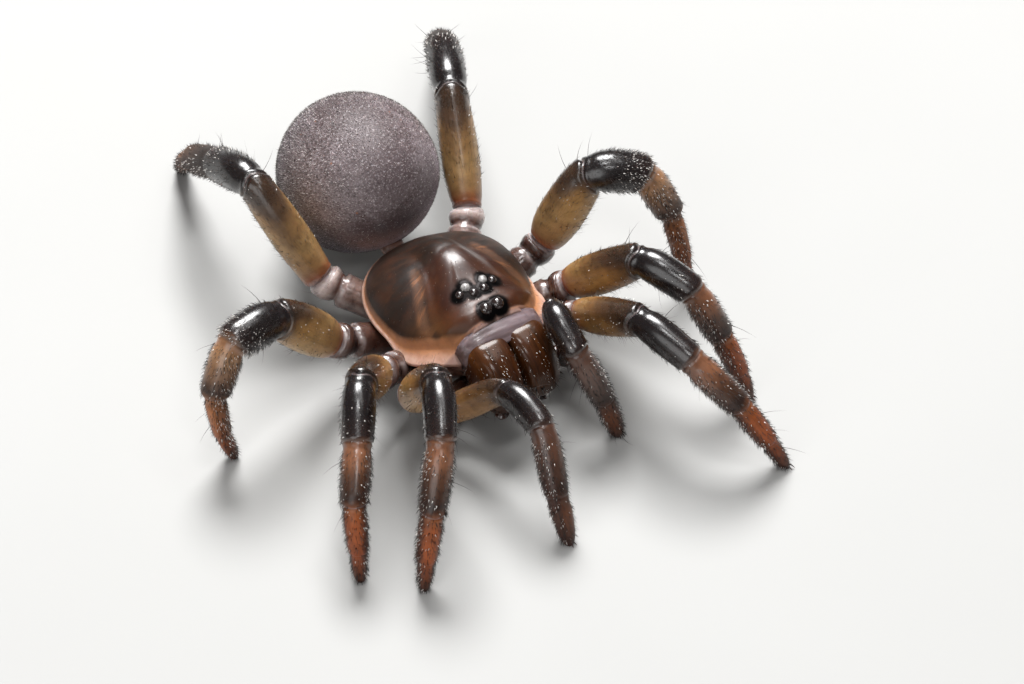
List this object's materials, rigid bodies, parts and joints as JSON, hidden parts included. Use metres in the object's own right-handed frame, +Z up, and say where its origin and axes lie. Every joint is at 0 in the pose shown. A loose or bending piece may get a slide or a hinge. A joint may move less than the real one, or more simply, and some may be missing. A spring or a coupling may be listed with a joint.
{
  "type": "trapdoor spider model",
  "caption": "Life-size trapdoor spider standing still with legs spread, domed glossy carapace and round matt abdomen.",
  "frame": {"origin": "middle of the bounding box at floor level, where the feet stand", "axes": "+Z up, the head points along -Y and the spider's left side is towards +X"},
  "size_m": [0.0208, 0.0266, 0.0073],
  "materials": {
    "carapace": "glossy dark chestnut shield, slightly translucent, with orange-brown streaks and a pale rim",
    "sternum": "smooth reddish brown underside plate",
    "pedicel": "soft pinkish brown waist",
    "abdomen": "matt taupe brown skin stippled with tiny pale hairs",
    "spinneret": "pale brown, finely hairy",
    "chelicera": "glossy red brown with fine bristles",
    "fang": "polished black brown",
    "eye": "polished black lenses",
    "coxa": "glossy pinkish brown with pale collars",
    "femur": "translucent olive brown, darker towards the knee",
    "tibia": "black brown, glossy on the knee, with pale glinting bristles",
    "foot": "red brown, densely bristled, dark at the tip"
  },
  "bodies": {
    "root": {"carapace": "carapace", "sternum": "sternum", "pedicel": "pedicel", "abdomen": "abdomen", "spinneret_left": "spinneret", "chelicera_left": "chelicera", "fang_left": "fang", "eye_front_left": "eye", "eye_middle_left": "eye", "eye_rear_left": "eye", "eye_side_left": "eye", "palp_left_coxa": "coxa", "palp_left_femur": "femur", "palp_left_tibia": "tibia", "palp_left_foot": "foot", "leg1_left_coxa": "coxa", "leg1_left_femur": "femur", "leg1_left_tibia": "tibia", "leg1_left_foot": "foot", "leg2_left_coxa": "coxa", "leg2_left_femur": "femur", "leg2_left_tibia": "tibia", "leg2_left_foot": "foot", "leg3_left_coxa": "coxa", "leg3_left_femur": "femur", "leg3_left_tibia": "tibia", "leg3_left_foot": "foot", "leg4_left_coxa": "coxa", "leg4_left_femur": "femur", "leg4_left_tibia": "tibia", "leg4_left_foot": "foot", "spinneret_right": "spinneret", "chelicera_right": "chelicera", "fang_right": "fang", "eye_front_right": "eye", "eye_middle_right": "eye", "eye_rear_right": "eye", "eye_side_right": "eye", "palp_right_coxa": "coxa", "palp_right_femur": "femur", "palp_right_tibia": "tibia", "palp_right_foot": "foot", "leg1_right_coxa": "coxa", "leg1_right_femur": "femur", "leg1_right_tibia": "tibia", "leg1_right_foot": "foot", "leg2_right_coxa": "coxa", "leg2_right_femur": "femur", "leg2_right_tibia": "tibia", "leg2_right_foot": "foot", "leg3_right_coxa": "coxa", "leg3_right_femur": "femur", "leg3_right_tibia": "tibia", "leg3_right_foot": "foot", "leg4_right_coxa": "coxa", "leg4_right_femur": "femur", "leg4_right_tibia": "tibia", "leg4_right_foot": "foot"}
  },
  "joints": []
}
